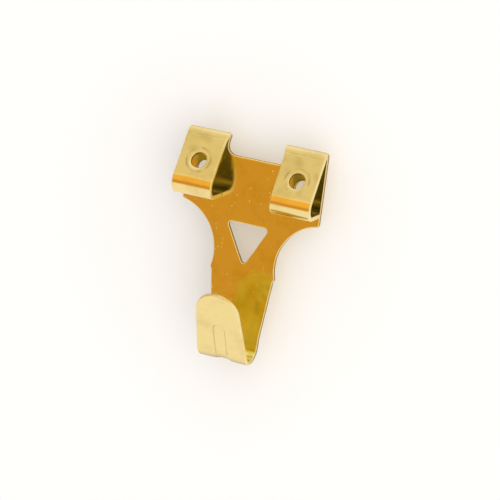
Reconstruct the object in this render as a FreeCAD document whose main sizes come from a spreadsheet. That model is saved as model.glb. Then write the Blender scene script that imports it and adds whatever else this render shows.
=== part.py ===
import FreeCAD, Part
import math
import os

import Sketcher

# A two-nail picture hook, stamped and folded from one brass sheet.
# +X is to the right, +Y points into the wall and +Z is up. The back of the plate lies on
# the wall plane, Y = 0, and the nails enter the wall at about Z = 0, the nail line.

# Driving sizes, in millimetres and degrees
SIZES = {
    "gauge": 0.65,              # thickness of the sheet
    "ear_gap": 9.8,             # clear width between the two ears
    "ear_width": 6.6,           # width of each ear's strip
    "ear_rise": 6.5,            # top of the ears above the nail line
    "ear_fold_radius": 0.12,    # inside radius of the tight fold at the top of an ear
    "ear_lean": 30.0,           # slope of an ear's front panel from the vertical
    "ear_bend_radius": 1.8,     # inside radius of the round bend at the foot of an ear
    "ear_end_angle": 32.5,      # where that bend ends, below the level of its centre
    "ear_end_gap": 0.15,        # gap between an ear's free end and the plate
    "nail_hole": 2.5,           # hole in an ear's front panel
    "nail_hole_back": 2.9,      # wider hole behind it, in the plate
    "throat_rise": 3.15,        # top edge of the plate, between the ears, above the nail line
    "throat_radius": 1.4,       # round between that edge and an ear
    "waist_drop": 12.7,         # narrowest place of the plate below the nail line
    "waist_width": 10.35,       # width there
    "waist_radius": 7.7,        # hollow of the plate's sides
    "lobe_round": 0.4,          # round on the lower corner of the plate's wide part
    "cusp_drop": 14.8,          # small points where the hollow sides end, below the nail line
    "cusp_height": 0.5,         # height of the step under each point
    "cusp_round": 0.15,         # round on those points and in the corners under them
    "shank_width": 10.4,        # width of the shank under the points
    "window_drop": 7.1,         # top of the three-sided window below the nail line
    "window_width": 7.15,       # width of the window's top
    "window_height": 6.7,       # height of the window, to its sharp corners
    "window_round": 0.5,        # round on the window's corners
    "hook_drop": 25.85,         # centre of the hook's bend below the nail line
    "hook_width": 8.2,          # width of the sheet in the hook's bend
    "hook_radius": 1.9,         # inside radius of that bend
    "hook_blend": 20.0,         # large round that runs the shank's and lip's sides into the bend
    "lip_lean": 27.0,           # slope of the hook's lip from the vertical
    "lip_length": 11.6,         # lip from the end of the bend to the top of its rounded end
    "lip_round": 3.55,          # radius of the rounded end
    "edge_break": 0.08,         # small bevel on the sheet's cut edges
    "rib_width": 1.9,           # groove of the stiffening rib, across the outside of the hook
    "rib_depth": 0.36,          # depth of that groove, and height of the ridge inside
    "rib_lip_length": 4.8,      # rib up the lip, from the bend to the centre of its round end
    "rib_plate_length": 2.5,    # rib up the plate, from the bend to the centre of its round end
}

doc = FreeCAD.newDocument("picture_hook")
sheet = doc.addObject("Spreadsheet::Sheet", "Sizes")
for row, (alias, number) in enumerate(SIZES.items(), start=1):
    sheet.set(f"A{row}", alias)
    sheet.set(f"B{row}", str(number))
    sheet.setAlias(f"B{row}", alias)
doc.recompute()

body = doc.addObject("PartDesign::Body", "picture_hook")
body.Label = "picture_hook"

# Places on a sketch's pieces, and the sketch's own axes and origin
START, END, CENTRE = range(1, 4)
X_AXIS, Y_AXIS = range(-1, -3, -1)
ORIGIN = (X_AXIS, START)


def size(expression):
    """Value of an expression on the sheet's sizes."""
    return float(sheet.evalExpression(expression))


def plane(role):
    """One of the body's origin planes."""
    return next(item for item in body.Origin.OriginFeatures if item.Role == role)


def new_sketch(name, role, tilt=None, turn=None, **offset):
    """Sketch on an origin plane, moved, tilted about its own X axis or turned by expressions."""
    sketch = body.newObject("Sketcher::SketchObject", name)
    sketch.AttachmentSupport = [(plane(role), "")]
    sketch.MapMode = "FlatFace"
    angle = tilt or turn
    if angle:
        axis = FreeCAD.Vector(1, 0, 0) if tilt else FreeCAD.Vector(0, 0, 1)
        sketch.AttachmentOffset = FreeCAD.Placement(FreeCAD.Vector(), FreeCAD.Rotation(axis, size(angle)))
        sketch.setExpression("AttachmentOffset.Rotation.Angle", angle)
    for axis, expression in offset.items():
        sketch.setExpression(f"AttachmentOffset.Base.{axis}", expression)
    return sketch


def line(start, end):
    """Straight piece of an outline."""
    return Part.LineSegment(FreeCAD.Vector(*start), FreeCAD.Vector(*end))


def arc(centre, radius, first, last):
    """Round piece of an outline, counter-clockwise between two angles in degrees."""
    circle = Part.Circle(FreeCAD.Vector(*centre), FreeCAD.Vector(0, 0, 1), radius)
    return Part.ArcOfCircle(circle, math.radians(first), math.radians(last))


def heading(piece, point):
    """Direction of a piece of an outline at one of its ends."""
    if isinstance(piece, Part.LineSegment):
        return (piece.EndPoint - piece.StartPoint).normalize()
    radial = (point - piece.Center).normalize()
    return FreeCAD.Vector(-radial.y, radial.x, 0)


def draw(sketch, pieces, closed=True):
    """Adds the pieces of an outline and joins each to the next, smoothly where they run on."""
    sketch.addGeometry(pieces, False)
    free = {(index, end) for index in range(len(pieces)) for end in (START, END)}
    for this in range(len(pieces) if closed else len(pieces) - 1):
        other = (this + 1) % len(pieces)
        pairs = [(a, b) for a in free for b in free if a[0] == this and b[0] == other]
        a, b = min(pairs, key=lambda pair: (sketch.getPoint(*pair[0]) - sketch.getPoint(*pair[1])).Length)
        free -= {a, b}
        point = sketch.getPoint(*a)
        turn = heading(pieces[this], point).cross(heading(pieces[other], point)).Length
        fix(sketch, "Tangent" if turn < 1e-6 else "Coincident", *a, *b)


def fix(sketch, kind, *where):
    """Adds a geometric constraint."""
    sketch.addConstraint(Sketcher.Constraint(kind, *where))


def dimension(sketch, kind, *where, to):
    """Adds a dimension bound to an expression on the sheet's sizes."""
    value = math.radians(size(to)) if kind == "Angle" else size(to)
    index = sketch.addConstraint(Sketcher.Constraint(kind, *where, value))
    sketch.setExpression(f"Constraints[{index}]", to)


def new_feature(kind, name, sketch, **properties):
    """Feature on a sketch, with its lengths bound to expressions on the sheet's sizes."""
    feature = body.newObject(f"PartDesign::{kind}", name)
    feature.Profile = sketch
    for key, value in properties.items():
        if isinstance(value, str) and key == "Length":
            feature.setExpression(key, value)
        else:
            setattr(feature, key, value)
    doc.recompute()
    return feature


def mirror(name, originals):
    """Repeats features on the other side of the middle plane."""
    feature = body.newObject("PartDesign::Mirrored", name)
    feature.Originals = originals
    feature.MirrorPlane = (plane("YZ_Plane"), [""])
    body.Tip = feature
    doc.recompute()
    return feature


def dress_edges(kind, name, base, edges, measure, expression):
    """Rounds or bevels the numbered edges of a feature's shape."""
    feature = body.newObject(f"PartDesign::{kind}", name)
    feature.Base = (base, [f"Edge{index}" for index in edges])
    feature.setExpression(measure, expression)
    doc.recompute()
    return feature


def round_corners(name, base, radius, corners):
    """Rounds the short edges through the sheet that stand at the given (x, z) corners."""
    edges = []
    for index, edge in enumerate(base.Shape.Edges, start=1):
        middle = edge.CenterOfMass
        through = abs(abs(edge.tangentAt(edge.FirstParameter).y) - 1) < 1e-6
        if through and any(math.hypot(middle.x - x, middle.z - z) < 1e-3 for x, z in corners):
            edges.append(index)
    return dress_edges("Fillet", name, base, edges, "Radius", radius)


def sharp_edges(shape):
    """Numbers of the edges along the sheet's cut sides, but not of the holes' rims."""
    edges = []
    for index, edge in enumerate(shape.Edges, start=1):
        middle = edge.valueAt((edge.FirstParameter + edge.LastParameter) / 2)
        normals = [
            face.normalAt(*face.Surface.parameter(middle))
            for face in shape.ancestorsOfType(edge, Part.Face)
        ]
        sharp = len(normals) == 2 and abs(normals[0].dot(normals[1])) < 0.5
        through = abs(edge.Length - size("Sizes.gauge")) < 1e-6
        if sharp and not through and not edge.isClosed():
            edges.append(index)
    return edges


half_width = "(Sizes.ear_gap / 2 + Sizes.ear_width)"
fold_height = "(Sizes.ear_rise - Sizes.gauge - Sizes.ear_fold_radius)"

# Flat blank, as wide as the ears and as tall as the plate between its two bends
right = size(half_width)
top = size(fold_height)
bottom = -size("Sizes.hook_drop")
blank_outline = new_sketch("blank_outline", "XZ_Plane")
draw(blank_outline, [
    line((-right, top), (right, top)),
    line((right, top), (right, bottom)),
    line((right, bottom), (-right, bottom)),
    line((-right, bottom), (-right, top)),
])
fix(blank_outline, "Symmetric", 0, START, 0, END, Y_AXIS)
fix(blank_outline, "Vertical", 1)
fix(blank_outline, "Horizontal", 2)
fix(blank_outline, "Vertical", 3)
dimension(blank_outline, "DistanceX", 0, START, 0, END, to=f"2 * {half_width}")
dimension(blank_outline, "DistanceY", *ORIGIN, 0, START, to=fold_height)
dimension(blank_outline, "DistanceY", 2, START, *ORIGIN, to="Sizes.hook_drop")
new_feature("Pad", "blank", blank_outline, Length="Sizes.gauge")

# Throat between the ears, with rounded lower corners
inner = size("Sizes.ear_gap / 2")
floor = size("Sizes.throat_rise")
corner = size("Sizes.throat_radius")
throat_outline = new_sketch("throat_outline", "XZ_Plane")
draw(throat_outline, [
    line((-inner, top), (-inner, floor + corner)),
    arc((-inner + corner, floor + corner), corner, 180, 270),
    line((-inner + corner, floor), (inner - corner, floor)),
    arc((inner - corner, floor + corner), corner, 270, 360),
    line((inner, floor + corner), (inner, top)),
    line((inner, top), (-inner, top)),
])
fix(throat_outline, "Vertical", 0)
fix(throat_outline, "Horizontal", 2)
fix(throat_outline, "Vertical", 4)
fix(throat_outline, "Symmetric", 5, START, 5, END, Y_AXIS)
fix(throat_outline, "Equal", 1, 3)
dimension(throat_outline, "Radius", 1, to="Sizes.throat_radius")
dimension(throat_outline, "DistanceX", 5, END, 5, START, to="Sizes.ear_gap")
dimension(throat_outline, "DistanceY", *ORIGIN, 2, START, to="Sizes.throat_rise")
dimension(throat_outline, "DistanceY", *ORIGIN, 5, START, to=fold_height)
new_feature("Pocket", "throat", throat_outline, Type="ThroughAll", Reversed=True)

# Three-sided window, point down
window_right = size("Sizes.window_width / 2")
window_top = -size("Sizes.window_drop")
window_foot = -size("Sizes.window_drop + Sizes.window_height")
window_outline = new_sketch("window_outline", "XZ_Plane")
draw(window_outline, [
    line((-window_right, window_top), (window_right, window_top)),
    line((window_right, window_top), (0, window_foot)),
    line((0, window_foot), (-window_right, window_top)),
])
fix(window_outline, "Symmetric", 0, START, 0, END, Y_AXIS)
fix(window_outline, "PointOnObject", 1, END, Y_AXIS)
dimension(window_outline, "DistanceX", 0, START, 0, END, to="Sizes.window_width")
dimension(window_outline, "DistanceY", 0, START, *ORIGIN, to="Sizes.window_drop")
dimension(window_outline, "DistanceY", 1, END, 0, START, to="Sizes.window_height")
new_feature("Pocket", "window", window_outline, Type="ThroughAll", Reversed=True)

# Side cut: hollow waist, small point under it, and tapering shank
cut_right = size(f"{half_width} + Sizes.gauge")
waist_x = size("Sizes.waist_width / 2 + Sizes.waist_radius")
waist_z = -size("Sizes.waist_drop")
waist_r = size("Sizes.waist_radius")
lobe_angle = math.degrees(math.acos((cut_right - waist_x) / waist_r))
cusp_angle = 180 + math.degrees(math.asin(size("Sizes.cusp_drop - Sizes.waist_drop") / waist_r))
waist = arc((waist_x, waist_z), waist_r, lobe_angle, cusp_angle)
cusp = waist.EndPoint
step_foot = (size("Sizes.shank_width / 2"), -size("Sizes.cusp_drop + Sizes.cusp_height"))
blend_r = size("Sizes.hook_blend")
shank_x = size("Sizes.hook_width / 2")
away = FreeCAD.Vector(step_foot[0] - shank_x - blend_r, step_foot[1] - bottom, 0)
blend_angle = math.degrees(math.atan2(away.y, away.x) + math.acos(blend_r / away.Length))
shank_blend = arc((shank_x + blend_r, bottom), blend_r, blend_angle, 180)
side_outline = new_sketch("side_outline", "XZ_Plane")
draw(side_outline, [
    waist,
    line((cusp.x, cusp.y), step_foot),
    line(step_foot, shank_blend.StartPoint),
    shank_blend,
    line((shank_x, bottom), (cut_right, bottom)),
    line((cut_right, bottom), (cut_right, waist.StartPoint.y)),
])
dimension(side_outline, "DistanceX", *ORIGIN, 0, CENTRE, to="Sizes.waist_width / 2 + Sizes.waist_radius")
dimension(side_outline, "DistanceY", 0, CENTRE, *ORIGIN, to="Sizes.waist_drop")
dimension(side_outline, "Radius", 0, to="Sizes.waist_radius")
dimension(side_outline, "DistanceY", 0, END, *ORIGIN, to="Sizes.cusp_drop")
dimension(side_outline, "DistanceX", *ORIGIN, 1, END, to="Sizes.shank_width / 2")
dimension(side_outline, "DistanceY", 1, END, 0, END, to="Sizes.cusp_height")
dimension(side_outline, "Radius", 3, to="Sizes.hook_blend")
dimension(side_outline, "DistanceX", *ORIGIN, 4, START, to="Sizes.hook_width / 2")
dimension(side_outline, "DistanceY", 4, START, *ORIGIN, to="Sizes.hook_drop")
fix(side_outline, "PointOnObject", 3, CENTRE, 4)
fix(side_outline, "Horizontal", 4)
fix(side_outline, "Vertical", 5)
dimension(side_outline, "DistanceX", *ORIGIN, 4, END, to=f"{half_width} + Sizes.gauge")
side_cut = new_feature("Pocket", "side_cut", side_outline, Type="ThroughAll", Reversed=True)

# Nail hole in the plate, on the nail line behind each ear
ear_middle = "(Sizes.ear_gap + Sizes.ear_width) / 2"
back_hole_outline = new_sketch("back_hole_outline", "XZ_Plane")
back_radius = size("Sizes.nail_hole_back / 2")
back_circle = Part.Circle(FreeCAD.Vector(size(ear_middle), 0, 0), FreeCAD.Vector(0, 0, 1), back_radius)
back_hole_outline.addGeometry(back_circle, False)
fix(back_hole_outline, "PointOnObject", 0, CENTRE, X_AXIS)
dimension(back_hole_outline, "DistanceX", *ORIGIN, 0, CENTRE, to=ear_middle)
dimension(back_hole_outline, "Diameter", 0, to="Sizes.nail_hole_back")
back_hole = new_feature("Pocket", "back_hole", back_hole_outline, Type="ThroughAll", Reversed=True)
both_sides = mirror("both_sides", [side_cut, back_hole])

# Rounds on the window's corners, on the lower corners of the wide part and round its points
window_corners = [(-window_right, window_top), (window_right, window_top), (0, window_foot)]
window_rounds = round_corners("window_rounds", both_sides, "Sizes.window_round", window_corners)
lobe_z = waist_z + math.sqrt(waist_r**2 - (right - waist_x)**2)
lobe_corners = [(-right, lobe_z), (right, lobe_z)]
lobe_rounds = round_corners("lobe_rounds", window_rounds, "Sizes.lobe_round", lobe_corners)
cusp_corners = [(side * x, z) for side in (-1, 1) for x, z in ((cusp.x, cusp.y), step_foot)]
round_corners("cusp_rounds", lobe_rounds, "Sizes.cusp_round", cusp_corners)

# Ear: tight fold at the top, sloping front panel, and round bend back to the plate
gauge = size("Sizes.gauge")
fold_r = size("Sizes.ear_fold_radius")
bend_r = size("Sizes.ear_bend_radius")
lean = size("Sizes.ear_lean")
end_angle = size("Sizes.ear_end_angle")
outward = FreeCAD.Vector(-math.cos(math.radians(lean)), math.sin(math.radians(lean)), 0)
downward = FreeCAD.Vector(-math.sin(math.radians(lean)), -math.cos(math.radians(lean)), 0)
fold = FreeCAD.Vector(-gauge - fold_r, top, 0)
end_y = -size("Sizes.gauge + Sizes.ear_end_gap")
bend_y = end_y - (bend_r + gauge) * math.cos(math.radians(end_angle))
panel_length = (bend_y - fold.x + outward.x * (bend_r - fold_r)) / downward.x
bend = fold + downward * panel_length - outward * (bend_r - fold_r)
panel_top = fold + outward * (fold_r + gauge)
panel_top_inside = fold + outward * fold_r
bend_outside = arc((bend.x, bend.y), bend_r + gauge, 180 - lean, 360 - end_angle)
bend_inside = arc((bend.x, bend.y), bend_r, 180 - lean, 360 - end_angle)
ear_profile = new_sketch("ear_profile", "YZ_Plane", z="Sizes.ear_gap / 2")
draw(ear_profile, [
    arc((fold.x, fold.y), fold_r + gauge, 0, 180 - lean),
    line(panel_top + downward * panel_length, panel_top),
    bend_outside,
    line(bend_outside.EndPoint, bend_inside.EndPoint),
    bend_inside,
    line(panel_top_inside + downward * panel_length, panel_top_inside),
    arc((fold.x, fold.y), fold_r, 0, 180 - lean),
    line((-gauge, top), (0, top)),
])
fix(ear_profile, "Coincident", 0, CENTRE, 6, CENTRE)
fix(ear_profile, "Coincident", 2, CENTRE, 4, CENTRE)
fix(ear_profile, "Horizontal", 7)
fix(ear_profile, "PointOnObject", 0, CENTRE, 7)
fix(ear_profile, "PointOnObject", 7, END, Y_AXIS)
fix(ear_profile, "PointOnObject", 2, CENTRE, 3)
dimension(ear_profile, "Radius", 6, to="Sizes.ear_fold_radius")
dimension(ear_profile, "Radius", 0, to="Sizes.ear_fold_radius + Sizes.gauge")
dimension(ear_profile, "Radius", 4, to="Sizes.ear_bend_radius")
dimension(ear_profile, "Radius", 2, to="Sizes.ear_bend_radius + Sizes.gauge")
dimension(ear_profile, "DistanceY", *ORIGIN, 7, END, to=fold_height)
dimension(ear_profile, "Angle", 1, to="90 - Sizes.ear_lean")
dimension(ear_profile, "Angle", 3, to="180 - Sizes.ear_end_angle")
dimension(ear_profile, "DistanceX", 2, END, *ORIGIN, to="Sizes.gauge + Sizes.ear_end_gap")
ear = new_feature("Pad", "ear", ear_profile, Length="Sizes.ear_width")

# Nail hole in the ear's panel, square to it and in line with the hole in the plate
nail_down = (
    f"({fold_height} * cos(Sizes.ear_lean * 1 deg)"
    " - (Sizes.gauge / 2 + Sizes.ear_fold_radius) * sin(Sizes.ear_lean * 1 deg))"
)
front_hole_outline = new_sketch(
    "front_hole_outline", "XZ_Plane",
    tilt="-Sizes.ear_lean",
    y=f"{fold_height} + (Sizes.ear_fold_radius + Sizes.gauge) * sin(Sizes.ear_lean * 1 deg)",
    z="Sizes.gauge + Sizes.ear_fold_radius"
      " + (Sizes.ear_fold_radius + Sizes.gauge) * cos(Sizes.ear_lean * 1 deg)",
)
front_radius = size("Sizes.nail_hole / 2")
front_centre = FreeCAD.Vector(size(ear_middle), -size(nail_down), 0)
front_hole_outline.addGeometry(Part.Circle(front_centre, FreeCAD.Vector(0, 0, 1), front_radius), False)
dimension(front_hole_outline, "DistanceX", *ORIGIN, 0, CENTRE, to=ear_middle)
dimension(front_hole_outline, "DistanceY", 0, CENTRE, *ORIGIN, to=nail_down)
dimension(front_hole_outline, "Diameter", 0, to="Sizes.nail_hole")
front_hole = new_feature("Pocket", "front_hole", front_hole_outline, Length="Sizes.gauge * 1.5")
mirror("both_ears", [ear, front_hole])

# Bend of the hook
hook_r = size("Sizes.hook_radius")
lip_lean = size("Sizes.lip_lean")
hook_centre = (-gauge - hook_r, bottom)
hook_outside = arc(hook_centre, hook_r + gauge, 180 + lip_lean, 360)
hook_inside = arc(hook_centre, hook_r, 180 + lip_lean, 360)
hook_profile = new_sketch("hook_profile", "YZ_Plane")
draw(hook_profile, [
    hook_outside,
    line(hook_outside.EndPoint, hook_inside.EndPoint),
    hook_inside,
    line(hook_outside.StartPoint, hook_inside.StartPoint),
])
fix(hook_profile, "Coincident", 0, CENTRE, 2, CENTRE)
fix(hook_profile, "Horizontal", 1)
fix(hook_profile, "PointOnObject", 0, CENTRE, 1)
fix(hook_profile, "PointOnObject", 0, CENTRE, 3)
fix(hook_profile, "PointOnObject", 1, START, Y_AXIS)
dimension(hook_profile, "Radius", 2, to="Sizes.hook_radius")
dimension(hook_profile, "Radius", 0, to="Sizes.hook_radius + Sizes.gauge")
dimension(hook_profile, "DistanceY", 1, START, *ORIGIN, to="Sizes.hook_drop")
dimension(hook_profile, "Angle", 3, to="Sizes.lip_lean")
new_feature("Pad", "hook_bend", hook_profile, Length="Sizes.hook_width", Midplane=True)

# Lip: sides that taper to a rounded end, in the plane of its outer face
lip_r = size("Sizes.lip_round")
lip_centre = size("Sizes.lip_length - Sizes.lip_round")
across = FreeCAD.Vector(blend_r - shank_x, lip_centre, 0)
touch = math.degrees(math.atan2(across.y, across.x) - math.acos((blend_r - lip_r) / across.Length))
lip_end = arc((0, lip_centre), lip_r, touch, 180 - touch)
right_blend = arc((shank_x - blend_r, 0), blend_r, 0, touch)
left_blend = arc((blend_r - shank_x, 0), blend_r, 180 - touch, 180)
lip_outline = new_sketch(
    "lip_outline", "XZ_Plane",
    tilt="Sizes.lip_lean",
    y="-Sizes.hook_drop - (Sizes.hook_radius + Sizes.gauge) * sin(Sizes.lip_lean * 1 deg)",
    z="(Sizes.hook_radius + Sizes.gauge) * (1 + cos(Sizes.lip_lean * 1 deg))",
)
draw(lip_outline, [
    line((-shank_x, 0), (shank_x, 0)),
    right_blend,
    line(right_blend.EndPoint, lip_end.StartPoint),
    lip_end,
    line(lip_end.EndPoint, left_blend.StartPoint),
    left_blend,
])
fix(lip_outline, "Symmetric", 0, START, 0, END, Y_AXIS)
fix(lip_outline, "PointOnObject", 0, START, X_AXIS)
fix(lip_outline, "PointOnObject", 1, CENTRE, X_AXIS)
fix(lip_outline, "PointOnObject", 5, CENTRE, X_AXIS)
fix(lip_outline, "PointOnObject", 3, CENTRE, Y_AXIS)
dimension(lip_outline, "DistanceX", 0, START, 0, END, to="Sizes.hook_width")
dimension(lip_outline, "Radius", 1, to="Sizes.hook_blend")
dimension(lip_outline, "Radius", 5, to="Sizes.hook_blend")
dimension(lip_outline, "Radius", 3, to="Sizes.lip_round")
dimension(lip_outline, "DistanceY", *ORIGIN, 3, CENTRE, to="Sizes.lip_length - Sizes.lip_round")
lip = new_feature("Pad", "lip", lip_outline, Length="Sizes.gauge", Reversed=True)

# Small bevel on the cut edges, all round the sheet
dress_edges("Chamfer", "edge_breaks", lip, sharp_edges(lip.Shape), "Size", "Sizes.edge_break")

# Stiffening rib, pressed from the outside: a round groove there and a ridge inside, with the
# sheet's thickness between them. Both follow one line, on which their arcs are centred.
rib_r = "(Sizes.rib_width^2 / (8 * Sizes.rib_depth) + Sizes.rib_depth / 2)"
ridge_r = f"({rib_r} + Sizes.gauge)"
rib_out = f"({rib_r} - Sizes.rib_depth)"
core = f"({rib_out} + Sizes.gauge / 2)"
sin_lip, cos_lip = "sin(Sizes.lip_lean * 1 deg)", "cos(Sizes.lip_lean * 1 deg)"
hook_y = "(-Sizes.gauge - Sizes.hook_radius)"
line_r = f"(Sizes.hook_radius + Sizes.gauge + {rib_out})"

line_arc = arc(hook_centre, size(line_r), 180 + lip_lean, 360)
plate_end = (size(rib_out), bottom + size("Sizes.rib_plate_length"))
lip_up = FreeCAD.Vector(-math.sin(math.radians(lip_lean)), math.cos(math.radians(lip_lean)), 0)
rib_line = new_sketch("rib_line", "YZ_Plane")
draw(rib_line, [
    line(plate_end, line_arc.EndPoint),
    line_arc,
    line(line_arc.StartPoint, line_arc.StartPoint + lip_up * size("Sizes.rib_lip_length")),
], closed=False)
fix(rib_line, "Vertical", 0)
dimension(rib_line, "DistanceX", *ORIGIN, 0, START, to=rib_out)
dimension(rib_line, "DistanceY", 0, END, *ORIGIN, to="Sizes.hook_drop")
dimension(rib_line, "Distance", 0, to="Sizes.rib_plate_length")
dimension(rib_line, "Radius", 1, to=line_r)
dimension(rib_line, "Angle", 2, to="90 + Sizes.lip_lean")
dimension(rib_line, "Distance", 2, to="Sizes.rib_lip_length")

section_z = "-Sizes.hook_drop + Sizes.rib_plate_length"
ridge_angle = math.degrees(math.asin(size(core) / size(ridge_r)))
ridge_curve = arc((0, 0), size(ridge_r), 180 + ridge_angle, 360 - ridge_angle)
ridge_section = new_sketch("ridge_section", "XY_Plane", y=rib_out, z=section_z)
draw(ridge_section, [ridge_curve, line(ridge_curve.EndPoint, ridge_curve.StartPoint)])
fix(ridge_section, "Coincident", 0, CENTRE, *ORIGIN)
fix(ridge_section, "Horizontal", 1)
dimension(ridge_section, "Radius", 0, to=ridge_r)
dimension(ridge_section, "DistanceY", 1, START, *ORIGIN, to=core)

groove_section = new_sketch("groove_section", "XY_Plane", y=rib_out, z=section_z)
groove_circle = Part.Circle(FreeCAD.Vector(), FreeCAD.Vector(0, 0, 1), size(rib_r))
groove_section.addGeometry(groove_circle, False)
fix(groove_section, "Coincident", 0, CENTRE, *ORIGIN)
dimension(groove_section, "Radius", 0, to=rib_r)

PLATE_END = {"x": rib_out, "y": section_z}
LIP_END = {
    "x": f"{hook_y} - {line_r} * {cos_lip} - Sizes.rib_lip_length * {sin_lip}",
    "y": f"-Sizes.hook_drop - {line_r} * {sin_lip} + Sizes.rib_lip_length * {cos_lip}",
    "turn": "180 + Sizes.lip_lean",
}


def rib_end(kind, name, radius, depth, place):
    """Round end of the rib: part of a disc beyond a depth, turned half round about its axis."""
    sketch = new_sketch(f"{name}_section", "YZ_Plane", **place)
    angle = math.degrees(math.acos(-size(depth) / size(radius)))
    on_lip = "turn" in place
    curve = arc((0, 0), size(radius), 180, 360 - angle) if on_lip else arc((0, 0), size(radius), angle, 180)
    tip = START if on_lip else END
    rim = curve.EndPoint if on_lip else curve.StartPoint
    draw(sketch, [curve, line(rim, (rim.x, 0)), line((rim.x, 0), (-size(radius), 0))])
    fix(sketch, "Coincident", 0, CENTRE, *ORIGIN)
    fix(sketch, "PointOnObject", 0, tip, X_AXIS)
    fix(sketch, "Vertical", 1)
    fix(sketch, "PointOnObject", 1, END, X_AXIS)
    dimension(sketch, "Radius", 0, to=radius)
    dimension(sketch, "DistanceX", 1, END, *ORIGIN, to=depth)
    new_feature(kind, name, sketch, ReferenceAxis=(sketch, ["H_Axis"]), Angle=180, Midplane=True)


new_feature("AdditivePipe", "ridge", ridge_section, Spine=rib_line)
rib_end("Revolution", "ridge_plate_end", ridge_r, core, PLATE_END)
rib_end("Revolution", "ridge_lip_end", ridge_r, core, LIP_END)
new_feature("SubtractivePipe", "groove", groove_section, Spine=rib_line)
rib_end("Groove", "groove_plate_end", rib_r, rib_out, PLATE_END)
rib_end("Groove", "groove_lip_end", rib_r, rib_out, LIP_END)

# Nothing is written unless every object is sound
for item in doc.Objects:
    if "Invalid" in item.State or "Error" in item.State:
        raise RuntimeError(f"{item.Name} failed: {item.State}")
shape = body.Shape
if shape.isNull() or not shape.isValid() or len(shape.Solids) != 1:
    raise RuntimeError("the hook is not one sound solid")

os.makedirs("parts", exist_ok=True)
shape.exportStep(f"parts/{body.Label}.step")
print(f"{body.Label}: {len(shape.Faces)} faces, {shape.Volume:.2f} mm3")
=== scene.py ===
import math

import bmesh
import bpy
import numpy as np
from mathutils import Matrix, Vector, noise
from mathutils.geometry import delaunay_2d_cdt


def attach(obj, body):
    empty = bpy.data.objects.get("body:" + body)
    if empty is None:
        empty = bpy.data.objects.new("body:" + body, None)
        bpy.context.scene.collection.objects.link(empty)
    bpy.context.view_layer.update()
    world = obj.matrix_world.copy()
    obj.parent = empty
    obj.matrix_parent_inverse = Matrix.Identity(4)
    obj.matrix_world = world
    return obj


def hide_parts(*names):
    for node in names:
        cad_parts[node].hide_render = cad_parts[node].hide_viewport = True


# A two-nail picture hook of bright brass sheet. The sheet is drawn as its flat blank, in
# millimetres, x across and s along it, meshed there, and then folded into the hook.

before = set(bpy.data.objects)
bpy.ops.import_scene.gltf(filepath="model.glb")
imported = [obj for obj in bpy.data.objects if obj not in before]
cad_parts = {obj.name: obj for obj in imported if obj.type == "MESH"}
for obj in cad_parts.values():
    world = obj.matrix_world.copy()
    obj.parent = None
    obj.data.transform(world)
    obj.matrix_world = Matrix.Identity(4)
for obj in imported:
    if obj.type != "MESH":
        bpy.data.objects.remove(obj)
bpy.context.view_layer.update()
MM = 0.001

# Blank and folds, in millimetres and radians
GAUGE = 0.65
EDGE_ROUND = 0.15                   # round on the cut edges
EAR_INNER = 4.9
EAR_OUTER = 11.5
EAR_TOP = 6.5
EAR_LEAN = math.radians(30)
EAR_FOLD_RADIUS = 0.12
FOLD_SWELL = 0.32                   # bulge of the squeezed metal at the inner end of the fold
SWELL_SPREAD = 1.0
EAR_BEND_RADIUS = 2.02              # wide front bend of an ear's foot
EAR_BEND_TURN = math.radians(48)
EAR_HEEL_RADIUS = 1.12              # tighter bend that follows, before the level leg to the plate
EAR_DROP = 3.68                     # underside of the foot below the nail line
EAR_END_GAP = 0.15
NAIL_HOLE_RADIUS = 1.25
BACK_HOLE_RADIUS = 1.45
THROAT_RISE = 3.15
THROAT_RADIUS = 1.4
WAIST_DROP = 12.7
WAIST_HALF_WIDTH = 5.175
WAIST_RADIUS = 7.7
LOBE_ROUND = 0.4
CUSP_DROP = 14.8
CUSP_HEIGHT = 0.5
CUSP_ROUND = 0.15
SHANK_HALF_WIDTH = 5.2
WINDOW_DROP = 7.1
WINDOW_HALF_WIDTH = 3.575
WINDOW_HEIGHT = 6.7
WINDOW_ROUND = 0.5
HOOK_DROP = 25.85
HOOK_HALF_WIDTH = 4.1
HOOK_RADIUS = 1.9
HOOK_BLEND = 20.0
LIP_LEAN = math.radians(27)
LIP_LENGTH = 11.6
LIP_ROUND = 3.55
RIB_HALF_WIDTH = 0.95
RIB_FLANK = 0.07
RIB_BEND_FLANK = 0.5
RIB_DEPTH = 0.13
RIB_LIP_LENGTH = 4.8
RIB_PLATE_LENGTH = 2.5
DENT_DEPTH = 0.16                   # hollow that the rib leaves across the whole bend
DENT_SPREAD = 1.3
DENT_FADE = 2.4

# Small marks of the press and of handling, painted shade on the folds, the hook's bend and the rib's edges,
# and painted highlights on the cut edges, in millimetres and as shares of full darkening
RIM_DISH = 0.03
RIM_SPREAD = 0.45
RING_OUT = 0.7
RING_SPREAD = 0.16
RING_TARNISH = 0.55
# A press crease below each fold; its dark line is a die mark with painted shade in it
CREASE_DROP = 0.65
CREASE_DEPTH = 0.012
CREASE_SPREAD = 0.12
CREASE_MARK_AND_SHADE = 0.32
# Painted shade: a dark line along the crest of each ear's fold
FOLD_RISE = 0.66
FOLD_SPREAD = 0.12
FOLD_PAINTED_SHADE = 1
# Painted shade: a dark band along the lowest part of the hook's bend, on its outside
BEND_ROUND = math.radians(108)
BEND_SPREAD = 0.9
BEND_PAINTED_SHADE = 1
BAND_TILT = 0.035
# Painted shade: dark lines along both edges of the rib
LINE_SPREAD = 0.08
RIB_LINE_PAINTED_SHADE = 0.38
PATCH_LENGTH = 1.2
PATCH_RANGE = (-0.3, 0.5)
STAIN_LENGTH = 1.7
STAIN_RANGE = (0, 0.6)
STAIN_DEPTH = 4.6                   # where the noise of the stains is cut
STAIN_TARNISH = 0.24
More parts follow.
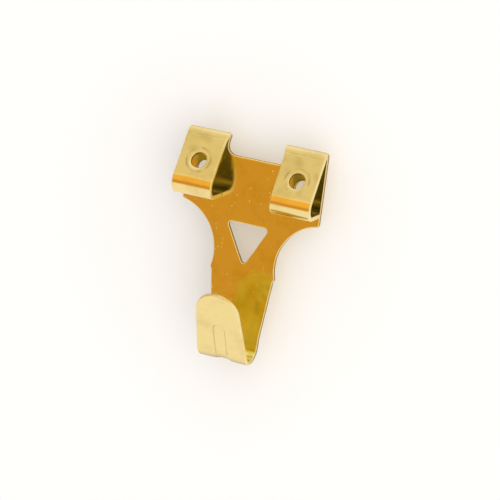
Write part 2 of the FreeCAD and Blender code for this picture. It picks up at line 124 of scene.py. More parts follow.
# Painted highlight: the outline's cut edges on the ears and the lip are lightened, more on the lip's right
EDGE_HIGHLIGHT = 0.95
LIP_LEFT_HIGHLIGHT = 0.55
LIP_HIGHLIGHT_FADE = 1.6
TORN_START = (0.1 * GAUGE, 0.24 * GAUGE)
TORN_END = (0.66 * GAUGE, 0.82 * GAUGE)
# Each darker patch on the shank's front has its x, its s, its spread and its share of full darkening
SHANK_DARK_PATCHES = ((4.1, -16.6, 0.9, 0.6), (3.5, -19.4, 0.7, 0.75), (4.3, -21.0, 0.6, 0.5))
SHANK_PATCH_STRETCH = 2.2
WAVE_HEIGHT = 0.024
WAVE_LENGTH = 2.6

# Fineness of the mesh, in millimetres, and its rows on and beside the rib
GRID_STEP = 0.34
FOLD_STEP = 0.1
CREASE_STEP = 0.06
CREASE_REACH = 1.2
RING_STEP = 0.14
RING_REACH = 1.1
BEND_STEP = 0.2
OUTLINE_STEP = 0.2
OUTLINE_TRIALS = 400
HOLE_STEP = 0.1
EDGE_SEGMENTS = 4
RIB_END_STEPS = 24
RIB_INNER_ROWS = (0, 0.2, 0.4)
RIB_FLANK_ROWS = (-4, -2.4, -1.4, -0.9, -0.45, 0, 0.45, 0.9, 1.4, 2.4, 4)
WALL_HEIGHTS = (0.12, 0.04, -0.04, -0.11)
MERGE_DISTANCE = 1e-5
UV_UNIT = 10                        # millimetres of the blank in one unit of its UV map

# Places along the blank, at the middle of the sheet's thickness
HALF_GAUGE = GAUGE / 2
fold_z = EAR_TOP - GAUGE - EAR_FOLD_RADIUS
fold_y = -GAUGE - EAR_FOLD_RADIUS
fold_turn = math.pi - EAR_LEAN
fold_run = (EAR_FOLD_RADIUS + HALF_GAUGE) * fold_turn
fold_middle = fold_z + fold_run / 2
panel_out = Vector((-math.cos(EAR_LEAN), math.sin(EAR_LEAN)))
panel_down = Vector((-math.sin(EAR_LEAN), -math.cos(EAR_LEAN)))
radius_step = EAR_BEND_RADIUS - EAR_FOLD_RADIUS
heel_from = fold_turn + EAR_BEND_TURN
heel_turn = 1.5 * math.pi - heel_from
heel_step = (EAR_BEND_RADIUS - EAR_HEEL_RADIUS) * Vector((math.cos(heel_from), math.sin(heel_from)))
bend_z = -EAR_DROP + EAR_HEEL_RADIUS + GAUGE - heel_step.y
panel_run = (bend_z - fold_z + panel_out.y * radius_step) / panel_down.y
bend_centre = Vector((fold_y, fold_z)) + panel_down * panel_run - panel_out * radius_step
heel_centre = bend_centre + heel_step
panel_start = fold_z + fold_run
bend_start = panel_start + panel_run
heel_start = bend_start + (EAR_BEND_RADIUS + HALF_GAUGE) * EAR_BEND_TURN
leg_start = heel_start + (EAR_HEEL_RADIUS + HALF_GAUGE) * heel_turn
ear_end = leg_start - GAUGE - EAR_END_GAP - heel_centre.x
ear_middle = (EAR_INNER + EAR_OUTER) / 2
nail_hole_s = panel_start + fold_z * math.cos(EAR_LEAN) + (fold_y + HALF_GAUGE) * math.sin(EAR_LEAN)
hook_y = -GAUGE - HOOK_RADIUS
hook_turn = math.pi - LIP_LEAN
hook_run = (HOOK_RADIUS + HALF_GAUGE) * hook_turn
bend_low = -HOOK_DROP - (HOOK_RADIUS + HALF_GAUGE) * BEND_ROUND
lip_start = -HOOK_DROP - hook_run
lip_end = lip_start - LIP_LENGTH
rib_high = -HOOK_DROP + RIB_PLATE_LENGTH
rib_low = lip_start - RIB_LIP_LENGTH


def smooth(low, high, value):
    """Smooth step from 0 to 1."""
    t = min(max((value - low) / (high - low), 0), 1)
    return t * t * (3 - 2 * t)


def bell(distance, spread):
    """Bell curve of height 1."""
    return math.exp(-(distance / spread) ** 2)


def rib_distance(x, s):
    """Distance on the blank from the middle line of the stiffening rib."""
    return math.hypot(x, max(s - rib_high, rib_low - s, 0))


def nail_distance(x, s):
    """Distance on the blank from the centre of the nearer ear's nail hole."""
    return math.hypot(abs(x) - ear_middle, s - nail_hole_s)


def folded(x, s, height):
    """Place, in metres, of a point of the blank at a height over the middle of the sheet, to the front."""
    y, z = -HALF_GAUGE - height, s
    if s > fold_z:
        along = s - fold_z
        reach = EAR_FOLD_RADIUS + HALF_GAUGE
        turn = min(along / reach, fold_turn)
        y = fold_y + (reach - height) * math.cos(turn)
        z = fold_z + (reach - height) * math.sin(turn)
        straight = min(max(along - fold_run, 0), panel_run)
        y += panel_down.x * straight
        z += panel_down.y * straight
        if s > bend_start:
            centre = bend_centre
            reach = EAR_BEND_RADIUS + HALF_GAUGE
            turn = fold_turn + (s - bend_start) / reach
            if s > heel_start:
                centre = heel_centre
                reach = EAR_HEEL_RADIUS + HALF_GAUGE
                turn = heel_from + min((s - heel_start) / reach, heel_turn)
            y = centre.x + (reach - height) * math.cos(turn) + max(s - leg_start, 0)
            z = centre.y + (reach - height) * math.sin(turn)
    elif s < -HOOK_DROP:
        along = -HOOK_DROP - s
        reach = HOOK_RADIUS + HALF_GAUGE
        turn = min(along / reach, hook_turn)
        straight = max(along - hook_run, 0)
        y = hook_y + (reach - height) * math.cos(turn) - math.sin(LIP_LEAN) * straight
        z = -HOOK_DROP - (reach - height) * math.sin(turn) + math.cos(LIP_LEAN) * straight
    inner_share = (EAR_OUTER - abs(x)) / (EAR_OUTER - EAR_INNER)
    swell = FOLD_SWELL * bell(s - fold_middle, SWELL_SPREAD) * inner_share
    return Vector((x - math.copysign(swell, x), y, z)) * MM


def pressed(x, s):
    """How far the press and handling have pushed the sheet to its front at a point of the blank."""
    bent = smooth(lip_start - DENT_FADE, lip_start, s) * (1 - smooth(-HOOK_DROP, -HOOK_DROP + DENT_FADE, s))
    flank = RIB_FLANK + (RIB_BEND_FLANK - RIB_FLANK) * bent
    push = RIB_DEPTH * (1 - smooth(RIB_HALF_WIDTH - flank, RIB_HALF_WIDTH + flank, rib_distance(x, s)))
    push += DENT_DEPTH * bent * bell(x, DENT_SPREAD)
    push += RIM_DISH * bell(nail_distance(x, s) - NAIL_HOLE_RADIUS, RIM_SPREAD)
    crease_s = panel_start + CREASE_DROP
    push += CREASE_DEPTH * bell(s - crease_s, CREASE_SPREAD)
    push += BAND_TILT * max(crease_s - max(s, panel_start), 0) * smooth(fold_z, panel_start, s)
    push += WAVE_HEIGHT * noise.noise(Vector((x, s, 0)) / WAVE_LENGTH)
    return push


def inside_shade_and_patches(x, s, patch):
    """Shares of darkening on the sheet's front: painted shade over the inside of the ears' loops, and a few
    darker patches on the shank.
    """
    # Painted shade: the inside of each ear's loop, from its fold on, is darkened in full.
    shares = [smooth(fold_z, panel_start, s)]
    for patch_x, patch_s, spread, share in SHANK_DARK_PATCHES:
        away = math.hypot(x - patch_x, (s - patch_s) / SHANK_PATCH_STRETCH)
        shares.append(share * patch * bell(away, spread))
    return shares


def outside_tarnish_and_shade(x, s, patch):
    """Shares of darkening on the sheet's back: rings, stains on the ears, the crease's die mark with
    painted shade, and painted shade on the folds and the hook's bend.
    """
    ring = nail_distance(x, s) - NAIL_HOLE_RADIUS - RING_OUT
    stain = smooth(*STAIN_RANGE, noise.noise(Vector((x, s, STAIN_DEPTH)) / STAIN_LENGTH))
    on_panel = smooth(panel_start, panel_start + GAUGE, s) * (1 - smooth(bend_start - GAUGE, bend_start, s))
    return [
        RING_TARNISH * patch * bell(ring, RING_SPREAD),
        CREASE_MARK_AND_SHADE * patch * bell(s - panel_start - CREASE_DROP, CREASE_SPREAD),
        FOLD_PAINTED_SHADE * bell(s - fold_z - FOLD_RISE, FOLD_SPREAD),
        BEND_PAINTED_SHADE * bell(s - bend_low, BEND_SPREAD),
        STAIN_TARNISH * stain * on_panel,
    ]


def tarnish_and_shade(x, s, front):
    """How dull the sheet is at a point of the blank, on its front or its back, from 0 to 1, with real
    stains and marks and with painted shade.
    """
    patch = smooth(*PATCH_RANGE, noise.noise(Vector((x, s, 0)) / PATCH_LENGTH))
    rib_painted_shade = RIB_LINE_PAINTED_SHADE * bell(rib_distance(x, s) - RIB_HALF_WIDTH, LINE_SPREAD)
    shares = inside_shade_and_patches(x, s, patch) if front else outside_tarnish_and_shade(x, s, patch)
    return max(rib_painted_shade, *shares)


def torn(height):
    """How dark a cut edge is at a height in the sheet: bright at both faces and torn between."""
    depth = HALF_GAUGE - height
    return smooth(*TORN_START, depth) * (1 - smooth(*TORN_END, depth))


def painted_edge_highlight(x, s):
    """Painted highlight on the outline's cut edges: how much of their torn darkness is lifted, on the ears
    and the lip, there less on the lip's left.
    """
    lip = LIP_LEFT_HIGHLIGHT + (EDGE_HIGHLIGHT - LIP_LEFT_HIGHLIGHT) * smooth(-LIP_HIGHLIGHT_FADE, LIP_HIGHLIGHT_FADE, x)
    return max(EDGE_HIGHLIGHT * smooth(fold_z, panel_start, s), lip * smooth(HOOK_DROP, -lip_start, -s))


def arc(x, s, radius, first, last, step=OUTLINE_STEP):
    """Points of an arc on the blank, between two angles in degrees."""
    count = max(3, math.ceil(abs(math.radians(last - first)) * radius / step))
    angles = [math.radians(first + (last - first) * i / count) for i in range(count + 1)]
    return [Vector((x + radius * math.cos(a), s + radius * math.sin(a))) for a in angles]


def corner(before, point, after, radius):
    """Points of a round on a corner between two straight stretches."""
    back = (before - point).normalized()
    ahead = (after - point).normalized()
    half = back.angle(ahead) / 2
    middle = point + (back + ahead).normalized() * radius / math.sin(half)
    first = point + back * radius / math.tan(half)
    last = point + ahead * radius / math.tan(half)
    start = math.atan2(*(first - middle).yx)
    sweep = (first - middle).angle_signed(last - middle)
    return arc(*middle, radius, math.degrees(start), math.degrees(start - sweep))


def stretch(points):
    """The same open outline with its long straight stretches divided, finely where the sheet is folded."""
    result = [points[0]]
    for start, end in zip(points, points[1:]):
        cuts = [start.lerp(end, i / OUTLINE_TRIALS) for i in range(1, OUTLINE_TRIALS)]
        for cut in cuts:
            tight = fold_z - GAUGE < cut.y < panel_start + GAUGE
            step = FOLD_STEP if tight else OUTLINE_STEP
            if (cut - result[-1]).length >= step and (end - cut).length >= step / 2:
                result.append(cut)
        result.append(end)
    return result


def right_side():
    """Right half of the blank's outline, from the middle of the lip's end up to that of the throat."""
    lip_middle = lip_start - LIP_LENGTH + LIP_ROUND
    across = Vector((HOOK_BLEND - HOOK_HALF_WIDTH, lip_start - lip_middle))
    slope = math.atan2(across.y, across.x)
    touch = math.degrees(slope - math.acos((HOOK_BLEND - LIP_ROUND) / across.length))
    points = arc(0, lip_middle, LIP_ROUND, 270, 360 - touch)
    points += arc(HOOK_HALF_WIDTH - HOOK_BLEND, lip_start, HOOK_BLEND, -touch, 0)

    step_foot = Vector((SHANK_HALF_WIDTH, -CUSP_DROP - CUSP_HEIGHT))
    blend_x = HOOK_HALF_WIDTH + HOOK_BLEND
    away = Vector((step_foot.x - blend_x, step_foot.y + HOOK_DROP))
    blend_angle = math.degrees(math.atan2(away.y, away.x) + math.acos(HOOK_BLEND / away.length))
    blend = arc(blend_x, -HOOK_DROP, HOOK_BLEND, 180, blend_angle)
    waist_x = WAIST_HALF_WIDTH + WAIST_RADIUS
    cusp_angle = 180 + math.degrees(math.asin((CUSP_DROP - WAIST_DROP) / WAIST_RADIUS))
    lobe_x = EAR_OUTER - LOBE_ROUND
    lobe_s = -WAIST_DROP + math.sqrt((WAIST_RADIUS + LOBE_ROUND) ** 2 - (lobe_x - waist_x) ** 2)
    lobe_angle = math.degrees(math.atan2(-WAIST_DROP - lobe_s, waist_x - lobe_x))
    waist = arc(waist_x, -WAIST_DROP, WAIST_RADIUS, cusp_angle, lobe_angle + 180)
    points += blend
    points += corner(blend[-1], step_foot, waist[0], CUSP_ROUND)
    points += corner(step_foot, waist[0], waist[1], CUSP_ROUND)
    points += waist[1:]
    points += arc(lobe_x, lobe_s, LOBE_ROUND, lobe_angle, 0)

    ear_corners = [Vector((x, ear_end)) for x in (EAR_OUTER, EAR_INNER)]
    points += corner(points[-1], *ear_corners, CUSP_ROUND)
    throat_x = EAR_INNER - THROAT_RADIUS
    throat_s = THROAT_RISE + THROAT_RADIUS
    points += corner(*ear_corners, Vector((EAR_INNER, throat_s)), CUSP_ROUND)
    points += arc(throat_x, throat_s, THROAT_RADIUS, 360, 270)
    points.append(Vector((0, THROAT_RISE)))
    return stretch(points)


def blank_loops():
    """The blank's outline and its cut-outs, as closed loops with the sheet on their left."""
    right = right_side()
    outline = right + [Vector((-p.x, p.y)) for p in reversed(right[1:-1])]
    tips = [Vector((x, -WINDOW_DROP)) for x in (-WINDOW_HALF_WIDTH, WINDOW_HALF_WIDTH)]
    tips.append(Vector((0, -WINDOW_DROP - WINDOW_HEIGHT)))
    window = []
    for i, tip in enumerate(tips):
        window += corner(tips[i - 1], tip, tips[(i + 1) % len(tips)], WINDOW_ROUND)
    loops = [outline, stretch(window + window[:1])[:-1]]
    for side in (-1, 1):
        loops.append(arc(side * ear_middle, 0, BACK_HOLE_RADIUS, 360, 0, HOLE_STEP)[:-1])
        loops.append(arc(side * ear_middle, nail_hole_s, NAIL_HOLE_RADIUS, 360, 0, HOLE_STEP)[:-1])
    return loops


def outward(loop):
    """Mitred directions out of the sheet at the points of a loop."""
    result = []
    for i, point in enumerate(loop):
        a = (point - loop[i - 1]).normalized()
        b = (loop[(i + 1) % len(loop)] - point).normalized()
        normals = Vector((a.y, -a.x)), Vector((b.y, -b.x))
        result.append((normals[0] + normals[1]) / (1 + normals[0].dot(normals[1])))
    return result


def inside(points, loops):
    """Which points lie on the sheet, by counting the loops' edges on one side of each."""
    x, s = points[:, 0], points[:, 1]
    result = np.zeros(len(points), bool)
    for loop in loops:
        for a, b in zip(loop, loop[1:] + loop[:1]):
            if a.y != b.y:
                crossing = (a.y > s) != (b.y > s)
                result ^= crossing & (x < (b.x - a.x) * (s - a.y) / (b.y - a.y) + a.x)
    return result


def grid_rows():
    """Places of the mesh's rows along the blank, closer where it is folded or creased."""
    spans = (
        (lip_end, lip_start, GRID_STEP),
        (lip_start, -HOOK_DROP, BEND_STEP),
        (-HOOK_DROP, fold_z, GRID_STEP),
        (fold_z, panel_start, FOLD_STEP),
        (panel_start, panel_start + CREASE_REACH, CREASE_STEP),
        (panel_start + CREASE_REACH, bend_start, GRID_STEP),
        (bend_start, leg_start, BEND_STEP),
        (leg_start, ear_end, GRID_STEP),
    )
    rows = []
    for low, high, step in spans:
        rows += list(np.arange(low, high, (high - low) / math.ceil((high - low) / step)))
    return rows


def grid_points(loops):
    """Points spread over the sheet, in rings round the nail holes and in rows along the rib."""
    rows = grid_rows()
    columns = np.arange(-EAR_OUTER, EAR_OUTER, GRID_STEP) + GRID_STEP / 2
    ringed = NAIL_HOLE_RADIUS + RING_REACH
    points = [(x, s) for s in rows for x in columns if rib_distance(x, s) > RIB_HALF_WIDTH + GRID_STEP]
    points = [p for p in points if nail_distance(*p) > ringed + RING_STEP]
    for radius in np.arange(NAIL_HOLE_RADIUS + 2 * RING_STEP, ringed + RING_STEP / 2, RING_STEP):
        for side in (-1, 1):
            points += [tuple(p) for p in arc(side * ear_middle, nail_hole_s, radius, 0, 360)[:-1]]
    flank = [RIB_HALF_WIDTH + RIB_FLANK * step for step in RIB_FLANK_ROWS]
    turns = [math.pi * i / RIB_END_STEPS for i in range(RIB_END_STEPS + 1)]
    for offset in (*RIB_INNER_ROWS, *flank):
        sides = (1, -1) if offset else (1,)
        points += [(side * offset, s) for s in rows if rib_low < s < rib_high for side in sides]
        if offset:
            points += [(offset * math.cos(a), rib_high + offset * math.sin(a)) for a in turns]
            points += [(offset * math.cos(a), rib_low - offset * math.sin(a)) for a in turns]
    points = np.array(points)
    points = points[inside(points, loops)]
    edge = np.array([tuple(p) for loop in loops for p in loop])
    apart = np.array([np.hypot(*(edge - p).T).min() for p in points])
    return points[apart > OUTLINE_STEP / 2]


def flat_mesh(loops, ways):
    """Points and triangles of the flat sheet inside its rounded edges, and where each loop's points are."""
    inset = [[p - w * EDGE_ROUND for p, w in zip(*pair)] for pair in zip(loops, ways)]
    ring = [[p - w * (EDGE_ROUND * 2) for p, w in zip(*pair)] for pair in zip(loops, ways)]
    flat = [p for loop in inset for p in loop]
    edges = []
    for loop in inset:
        first = len(edges)
        edges += [(first + i, first + (i + 1) % len(loop)) for i in range(len(loop))]
    flat += [p for loop in ring for p in loop]
    flat += [Vector(p) for p in grid_points(ring)]
    spots, _, triangles, sources, _, _ = delaunay_2d_cdt(flat, edges, [], 0, MERGE_DISTANCE)
    centres = np.array([tuple(sum((spots[i] for i in t), Vector((0, 0))) / 3) for t in triangles])
    triangles = [tuple(t) for t, keep in zip(triangles, inside(centres, inset)) if keep]
    index = {source: new for new, group in enumerate(sources) for source in group}
    return spots, triangles, index


def edge_profile():
    """Section of a cut edge from front to back: how far out of the sheet, and at which height."""
    turns = [math.pi / 2 * i / EDGE_SEGMENTS for i in range(EDGE_SEGMENTS + 1)]
    front = [(EDGE_ROUND * (math.sin(a) - 1), HALF_GAUGE - EDGE_ROUND * (1 - math.cos(a))) for a in turns]
    back = [(out, -height) for out, height in reversed(front)]
    return front + [(0, height) for height in WALL_HEIGHTS] + back


def sheet_mesh():
    """The folded sheet: both faces from one flat mesh, and rounded cut edges between them."""
    loops = blank_loops()
    ways = [outward(loop) for loop in loops]
    spots, triangles, index = flat_mesh(loops, ways)

    pushes = [pressed(*p) for p in spots]
    vertices = [folded(*p, HALF_GAUGE + push) for p, push in zip(spots, pushes)]
    vertices += [folded(*p, -HALF_GAUGE + push) for p, push in zip(spots, pushes)]
    plan = [tuple(p) for p in spots] * 2
    dullness_and_shade = [tarnish_and_shade(*p, front) for front in (True, False) for p in spots]
    faces = triangles + [tuple(i + len(spots) for i in reversed(t)) for t in triangles]
    finish = [0] * len(triangles) + [1] * len(triangles)

    first = 0
    for loop, way in zip(loops, ways):
        front = [index[first + i] for i in range(len(loop))]
        bands = [front]
        for out, height in edge_profile()[1:-1]:
            bands.append(list(range(len(vertices), len(vertices) + len(loop))))
            for p, w in zip(loop, way):
                spot = p + w * out
                vertices.append(folded(*spot, height + pressed(*spot)))
                plan.append(tuple(spot))
                dullness_and_shade.append(torn(height) * (1 - painted_edge_highlight(*spot) * (first == 0)))
        bands.append([i + len(spots) for i in front])
        for upper, lower in zip(bands, bands[1:]):
            for i in range(len(loop)):
                j = (i + 1) % len(loop)
                faces.append((upper[i], lower[i], lower[j], upper[j]))
                finish.append(2)
        first += len(loop)

    mesh = bpy.data.meshes.new("hook_sheet")
    mesh.from_pydata(vertices, [], faces)
    mesh.polygons.foreach_set("material_index", finish)
    mesh.polygons.foreach_set("use_smooth", [True] * len(faces))
    mesh.attributes.new("tarnish_and_shade", "FLOAT", "POINT").data.foreach_set("value", dullness_and_shade)
    layer = mesh.uv_layers.new(name="blank")
    for loop in mesh.loops:
        layer.data[loop.index].uv = Vector(plan[loop.vertex_index]) / UV_UNIT
    work = bmesh.new()
    work.from_mesh(mesh)
    bmesh.ops.recalc_face_normals(work, faces=work.faces)
    work.to_mesh(mesh)
    work.free()
    mesh.update()
    return mesh


# Marks of handling, on the blank's UV map, and roughness where the brass is marked, stained or darkened by
# painted shade
SMUDGE_SCALE = 2.2
SMUDGE_DETAIL = 4
SMUDGE_ROUGHNESS = 0.65
SMUDGE_RANGE = (0.45, 0.7)
SPECK_SCALE = 15
SPECK_RANGE = (0.26, 0.1)
SPECK_SHARE = 0.65                  # share of the cells that hold a speck
HAIRLINE_SLANT = math.radians(24)
HAIRLINE_STRETCH = (1.5, 55, 1)
HAIRLINE_SCALE = 1.6
HAIRLINE_DETAIL = 2
HAIRLINE_RANGE = (0.62, 0.72)
SPECK_ROUGHNESS = 0.5
TARNISH_ROUGHNESS = 0.3
RELIEF_DEPTH = 0.02 * MM

# Finishes of the sheet's front, back and cut edges, as linear colours and shares; the dark colours of the
# front and back also serve as painted shade
FINISHES = {
    "inside_brass": dict(
        colour=(0.87, 0.765, 0.32, 1), dulled=(0.76, 0.6, 0.06, 1),
        lit=(0.92, 0.79, 0.38, 1), tarnish_and_shade_colour=(0.45, 0.43, 0.21, 1),
        roughness=0.14, dull_roughness=0.24, smudge=1, speck=0.85, hairline=0.1, relief=0.6,
    ),
    "outside_brass": dict(
        colour=(0.89, 0.72, 0.33, 1), dulled=(0.76, 0.58, 0.24, 1),
        lit=(0.95, 0.8, 0.45, 1), tarnish_and_shade_colour=(0.3, 0.19, 0.05, 1),
        roughness=0.13, dull_roughness=0.26, smudge=0.6, speck=0.2, hairline=0.08, relief=0.3,
    ),
    "cut_brass": dict(
        colour=(0.94, 0.79, 0.38, 1), dulled=(0.85, 0.6, 0.18, 1),
        lit=(1, 0.85, 0.5, 1), tarnish_and_shade_colour=(0.2, 0.1, 0.025, 1),
        roughness=0.36, dull_roughness=0.5, smudge=0.6, speck=0, hairline=0.3, relief=0.2,
    ),
}


def wire(tree, value, socket):
    """Links another node's output to a socket, or sets the socket to a plain value."""
    if isinstance(value, bpy.types.NodeSocket):
        tree.links.new(value, socket)
    else:
        socket.default_value = value


def maths(tree, operation, first, second=0):
    """Output of a Math node."""
    node = tree.nodes.new("ShaderNodeMath")
    node.operation = operation
    wire(tree, first, node.inputs[0])
    wire(tree, second, node.inputs[1])
    return node.outputs["Value"]


def ranged(tree, value, source=(0, 1), target=(0, 1), blend="LINEAR"):
    """Output of a Map Range node that takes one span to another."""
    node = tree.nodes.new("ShaderNodeMapRange")
    node.interpolation_type = blend
    wire(tree, value, node.inputs["Value"])
    for name, number in zip(("From Min", "From Max", "To Min", "To Max"), (*source, *target)):
        node.inputs[name].default_value = number
    return node.outputs["Result"]


def mixed(tree, factor, first, second, kind="RGBA"):
    """Output of a Mix node between two colours or numbers."""
    node = tree.nodes.new("ShaderNodeMix")
    node.data_type = kind
    wire(tree, factor, node.inputs["Factor"])
    wire(tree, first, node.inputs["A"])
    wire(tree, second, node.inputs["B"])
    return node.outputs["Result"]


def clouds(tree, place, scale, detail):
    """Noise texture at a place."""
    node = tree.nodes.new("ShaderNodeTexNoise")
    node.inputs["Scale"].default_value = scale
    node.inputs["Detail"].default_value = detail
    wire(tree, place, node.inputs["Vector"])
    return node


def handling_group():
    """Marks of handling on bright sheet: smudges, small specks and hairlines, as masks and a height."""
    tree = bpy.data.node_groups.new("handling_marks", "ShaderNodeTree")
    for name in ("Smudge", "Speck", "Hairline"):
        tree.interface.new_socket(name, in_out="INPUT", socket_type="NodeSocketFloat")
    for name in ("Dull", "Bright", "Height"):
        tree.interface.new_socket(name, in_out="OUTPUT", socket_type="NodeSocketFloat")
    nodes = tree.nodes
    given = nodes.new("NodeGroupInput").outputs
    result = nodes.new("NodeGroupOutput").inputs
    blank_map = nodes.new("ShaderNodeUVMap")
    blank_map.uv_map = "blank"
    blank = blank_map.outputs["UV"]

    cloud = clouds(tree, blank, SMUDGE_SCALE, SMUDGE_DETAIL)
    cloud.inputs["Roughness"].default_value = SMUDGE_ROUGHNESS
    smudge = ranged(tree, cloud.outputs["Fac"], SMUDGE_RANGE, blend="SMOOTHSTEP")

    cells = nodes.new("ShaderNodeTexVoronoi")
    cells.inputs["Scale"].default_value = SPECK_SCALE
    wire(tree, blank, cells.inputs["Vector"])
    dot = ranged(tree, cells.outputs["Distance"], SPECK_RANGE, blend="SMOOTHSTEP")
    chance = nodes.new("ShaderNodeSeparateColor")
    wire(tree, cells.outputs["Color"], chance.inputs["Color"])
    chosen = maths(tree, "LESS_THAN", chance.outputs["Red"], SPECK_SHARE)
    strength = maths(tree, "MULTIPLY", chosen, chance.outputs["Green"])
    spots = maths(tree, "MULTIPLY", dot, strength)
    specks = maths(tree, "MULTIPLY", spots, given["Speck"])

    slant = nodes.new("ShaderNodeMapping")
    slant.inputs["Rotation"].default_value = (0, 0, HAIRLINE_SLANT)
    slant.inputs["Scale"].default_value = HAIRLINE_STRETCH
    wire(tree, blank, slant.inputs["Vector"])
    strokes = clouds(tree, slant.outputs["Vector"], HAIRLINE_SCALE, HAIRLINE_DETAIL)
    lines = ranged(tree, strokes.outputs["Fac"], HAIRLINE_RANGE)
    hairs = maths(tree, "MULTIPLY", lines, given["Hairline"])

    wire(tree, maths(tree, "MULTIPLY", smudge, given["Smudge"]), result["Dull"])
    wire(tree, maths(tree, "MAXIMUM", specks, hairs), result["Bright"])
    wire(tree, maths(tree, "SUBTRACT", specks, hairs), result["Height"])
    return tree


def brass(name, colour, dulled, lit, tarnish_and_shade_colour, roughness, dull_roughness, smudge, speck, hairline, relief):
    """Bright plated brass with its own share of the marks of handling, darkened by the attribute that holds
    real stains and painted shade.
    """
    material = bpy.data.materials.new(name)
    material.use_nodes = True
    tree = material.node_tree
    shader = tree.nodes["Principled BSDF"]
    shader.inputs["Metallic"].default_value = 1
    group = tree.nodes.new("ShaderNodeGroup")
    group.node_tree = handling
    group.inputs["Smudge"].default_value = smudge
    group.inputs["Speck"].default_value = speck
    group.inputs["Hairline"].default_value = hairline
    marks = group.outputs
    press = tree.nodes.new("ShaderNodeAttribute")
    press.attribute_name = "tarnish_and_shade"
    # The attribute brings in the dark colour: real stains, rings and torn cut edges, with painted shade in
    # the ears' loops, on the folds, the hook's bend and the rib's edges, lifted on the cut edges by a
    # painted highlight
    stain = press.outputs["Fac"]

    tone = mixed(tree, marks["Dull"], colour, dulled)
    shade = mixed(tree, marks["Bright"], tone, lit)
    wire(tree, mixed(tree, stain, shade, tarnish_and_shade_colour), shader.inputs["Base Color"])

    gloss = ranged(tree, marks["Dull"], target=(roughness, dull_roughness))
    scatter = ranged(tree, marks["Bright"], target=(0, SPECK_ROUGHNESS))
    stained = ranged(tree, stain, target=(0, TARNISH_ROUGHNESS))
    rougher = maths(tree, "MAXIMUM", gloss, scatter)
    wire(tree, maths(tree, "MAXIMUM", rougher, stained), shader.inputs["Roughness"])

    bump = tree.nodes.new("ShaderNodeBump")
    bump.inputs["Strength"].default_value = relief
    bump.inputs["Distance"].default_value = RELIEF_DEPTH
    wire(tree, marks["Height"], bump.inputs["Height"])
    wire(tree, bump.outputs["Normal"], shader.inputs["Normal"])
    return material


handling = handling_group()
hook = bpy.data.objects.new("hook_sheet", sheet_mesh())
for finish_name, finish in FINISHES.items():
    hook.data.materials.append(brass(finish_name, **finish))
bpy.context.scene.collection.objects.link(hook)
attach(hook, "root")
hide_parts("picture_hook")

# Stage: a white board close behind the hook, open when it is seen from its back
BOARD_GAP = 4 * MM
BOARD_SIZE = 0.9
BOARD_WHITE = (0.985, 0.95, 0.92, 1)
BOARD_GLOW = 0.35
# Warm dim glow of the board in what the metal mirrors twice: a painted dark reflection
BOARD_DEEP = (0.75, 0.58, 0.17, 1)
TWO_MIRRORS = 1.5                   # glossy depth past which a ray was mirrored twice


def glow(tree, colour):
    """Output of an Emission node of strength 1."""
    node = tree.nodes.new("ShaderNodeEmission")
    node.inputs["Color"].default_value = colour
    return node.outputs["Emission"]


def either(tree, factor, first, second):
    """Output of a Mix Shader node."""
    node = tree.nodes.new("ShaderNodeMixShader")
    for value, socket in zip((factor, first, second), node.inputs):
        wire(tree, value, socket)
    return node.outputs["Shader"]


def board_material():
    """White board that keeps shadows, glows dim and warm in what the metal mirrors twice as a painted dark
    reflection, and is clear from behind.
    """
    material = bpy.data.materials.new("white_board")
    material.use_nodes = True
    tree = material.node_tree
    nodes = tree.nodes
    nodes.remove(nodes["Principled BSDF"])
    matt = nodes.new("ShaderNodeBsdfDiffuse")
    matt.inputs["Color"].default_value = BOARD_WHITE
    clear = nodes.new("ShaderNodeBsdfTransparent")
    path = nodes.new("ShaderNodeLightPath").outputs
    side = nodes.new("ShaderNodeNewGeometry").outputs
    share = maths(tree, "MULTIPLY", path["Is Glossy Ray"], BOARD_GLOW)
    mirrored = either(tree, share, matt.outputs["BSDF"], glow(tree, BOARD_WHITE))
    twice = maths(tree, "GREATER_THAN", path["Glossy Depth"], TWO_MIRRORS)
    shown = either(tree, twice, mirrored, glow(tree, BOARD_DEEP))
    sided = either(tree, side["Backfacing"], shown, clear.outputs["BSDF"])
    wire(tree, sided, nodes["Material Output"].inputs["Surface"])
    return material


def add_board():
    """Square board that faces the front."""
    half = BOARD_SIZE / 2
    corners = [(x, BOARD_GAP, z) for x, z in ((-half, -half), (half, -half), (half, half), (-half, half))]
    mesh = bpy.data.meshes.new("board")
    mesh.from_pydata(corners, [], [(0, 1, 2, 3)])
    mesh.materials.append(board_material())
    board = bpy.data.objects.new("board", mesh)
    bpy.context.scene.collection.objects.link(board)


add_board()

# Light: white all round, and for what the metal mirrors a studio with a warm wall behind the camera
SOFT_LIGHT = 1.45
SOFT_WAY = (0.5, 0.4, 0.15)
STUDIO_LOW = (1.0, 0.97, 0.9, 1)
STUDIO_WALL_LOW = (0.685, 0.327, 0.042, 1)
STUDIO_WALL_HIGH = (1.0, 0.57, 0.11, 1)
STUDIO_GLEAM = (1.0, 0.9, 0.62, 1)
STUDIO_TOP = (0.82, 0.74, 0.5, 1)
WALL_STOPS = ((-0.9, STUDIO_LOW), (-0.45, STUDIO_LOW), (-0.33, STUDIO_WALL_LOW), (-0.17, STUDIO_WALL_LOW),
              (0.02, STUDIO_WALL_HIGH), (0.42, STUDIO_WALL_HIGH), (0.53, STUDIO_GLEAM), (0.62, STUDIO_TOP),
              (0.71, STUDIO_TOP), (0.8, STUDIO_LOW))
SIDE_RANGE = (0.5, 0.85)
SIDE_SHADE = 0.6
STUDIO_RIGHT = (1.0, 0.94, 0.78, 1)
RIGHT_RANGE = (0.2, 0.55)
WHITE = (1, 1, 1, 1)


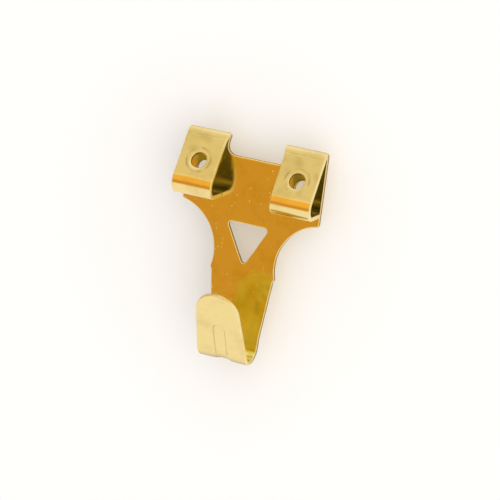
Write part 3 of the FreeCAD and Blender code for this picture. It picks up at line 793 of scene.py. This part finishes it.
def studio(tree, way):
    """Colour of the studio in a direction: bands by height, dimmer at both sides and pale on the right."""
    axes = tree.nodes.new("ShaderNodeSeparateXYZ")
    wire(tree, way, axes.inputs["Vector"])
    ramp = tree.nodes.new("ShaderNodeValToRGB")
    stops = ramp.color_ramp.elements
    while len(stops) < len(WALL_STOPS):
        stops.new(0.5)
    for stop, (height, colour) in zip(stops, WALL_STOPS):
        stop.position = (height + 1) / 2
        stop.color = colour
    wire(tree, ranged(tree, axes.outputs["Z"], (-1, 1)), ramp.inputs["Fac"])
    aside = maths(tree, "ABSOLUTE", axes.outputs["X"])
    dimmed = tree.nodes.new("ShaderNodeVectorMath")
    dimmed.operation = "SCALE"
    wire(tree, ramp.outputs["Color"], dimmed.inputs[0])
    wire(tree, ranged(tree, aside, SIDE_RANGE, (1, SIDE_SHADE), "SMOOTHSTEP"), dimmed.inputs["Scale"])
    right = ranged(tree, axes.outputs["X"], RIGHT_RANGE, blend="SMOOTHSTEP")
    return mixed(tree, right, dimmed.outputs["Vector"], STUDIO_RIGHT)


def soft_light(tree, way):
    """Strength of the light in a direction, from none to twice its mean."""
    towards = tree.nodes.new("ShaderNodeVectorMath")
    towards.operation = "DOT_PRODUCT"
    towards.inputs[1].default_value = SOFT_WAY
    wire(tree, way, towards.inputs[0])
    return ranged(tree, towards.outputs["Value"], (-1, 1), (0, 2 * SOFT_LIGHT))


def add_light():
    """World light, with the studio only for glossy rays and the soft light only for diffuse ones."""
    world = bpy.data.worlds.new("studio")
    bpy.context.scene.world = world
    world.use_nodes = True
    world.cycles.sampling_method = "NONE"
    tree = world.node_tree
    way = tree.nodes.new("ShaderNodeTexCoord").outputs["Generated"]
    path = tree.nodes.new("ShaderNodeLightPath").outputs
    background = tree.nodes["Background"].inputs
    wire(tree, mixed(tree, path["Is Glossy Ray"], WHITE, studio(tree, way)), background["Color"])
    strength = mixed(tree, path["Is Diffuse Ray"], 1, soft_light(tree, way), "FLOAT")
    wire(tree, strength, background["Strength"])


add_light()

# Camera at the photograph's viewing angle
CAMERA_AZIMUTH = math.radians(21.977)
CAMERA_ELEVATION = math.radians(13.874)
CAMERA_ROLL = math.radians(7.463)
CAMERA_PLACE = Vector((125.40, -309.26, 71.27)) * MM
CAMERA_LENS = 160.3
SENSOR_WIDTH = 36


def add_camera():
    """Long-lens camera, turned a little on its side."""
    camera = bpy.data.cameras.new("camera")
    camera.lens = CAMERA_LENS
    camera.sensor_width = SENSOR_WIDTH
    camera.sensor_fit = "HORIZONTAL"
    view = bpy.data.objects.new("camera", camera)
    turn = Matrix.Rotation(CAMERA_AZIMUTH, 4, "Z") @ Matrix.Rotation(math.pi / 2 - CAMERA_ELEVATION, 4, "X")
    view.matrix_world = Matrix.Translation(CAMERA_PLACE) @ turn @ Matrix.Rotation(CAMERA_ROLL, 4, "Z")
    bpy.context.scene.collection.objects.link(view)
    bpy.context.scene.camera = view


add_camera()
bpy.context.scene.view_settings.view_transform = "Standard"
